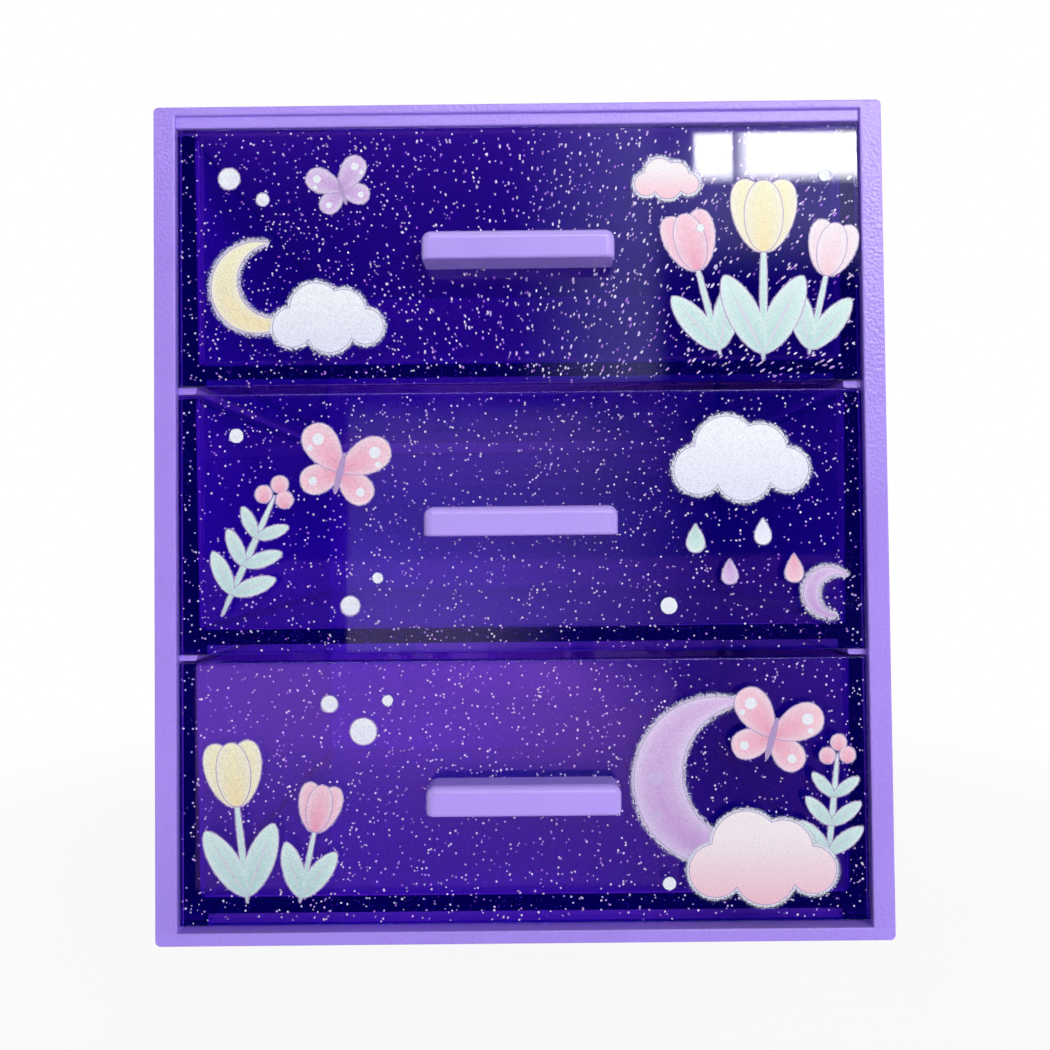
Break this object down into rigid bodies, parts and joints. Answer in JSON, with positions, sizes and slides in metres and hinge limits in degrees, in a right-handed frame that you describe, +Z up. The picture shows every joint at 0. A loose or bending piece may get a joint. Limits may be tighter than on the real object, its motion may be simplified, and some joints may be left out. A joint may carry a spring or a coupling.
{
  "type": "drawer organizer",
  "caption": "Small desk chest: a lavender moulded case, open at the front, with see-through violet glitter drawers that slide on moulded ledges, each pulled by a bar handle.",
  "frame": {"origin": "on the underside, in the middle of the whole width and of the whole depth with the handles", "axes": "+Z up, -Y the open front with the handles, +X the viewer's right"},
  "size_m": [0.12, 0.119, 0.1373],
  "materials": {
    "lavender_case": "glossy, opaque",
    "violet_glitter": "clear tinted, with glitter flakes in it",
    "lavender_handle": "glossy, opaque",
    "screw_steel": "bright zinc plate"
  },
  "bodies": {
    "case": {"case": "lavender_case"},
    "bottom_drawer": {"drawer_bottom": "violet_glitter", "handle_bottom": "lavender_handle", "screws_bottom": "screw_steel"},
    "middle_drawer": {"drawer_middle": "violet_glitter", "handle_middle": "lavender_handle", "screws_middle": "screw_steel"},
    "top_drawer": {"drawer_top": "violet_glitter", "handle_top": "lavender_handle", "screws_top": "screw_steel"}
  },
  "joints": [
    {"name": "bottom_slide", "type": "slide", "parent": "case", "child": "bottom_drawer", "axis": [0, -1, 0], "range_m": [0, 0.085]},
    {"name": "middle_slide", "type": "slide", "parent": "case", "child": "middle_drawer", "axis": [0, -1, 0], "range_m": [0, 0.085]},
    {"name": "top_slide", "type": "slide", "parent": "case", "child": "top_drawer", "axis": [0, -1, 0], "range_m": [0, 0.085]}
  ]
}
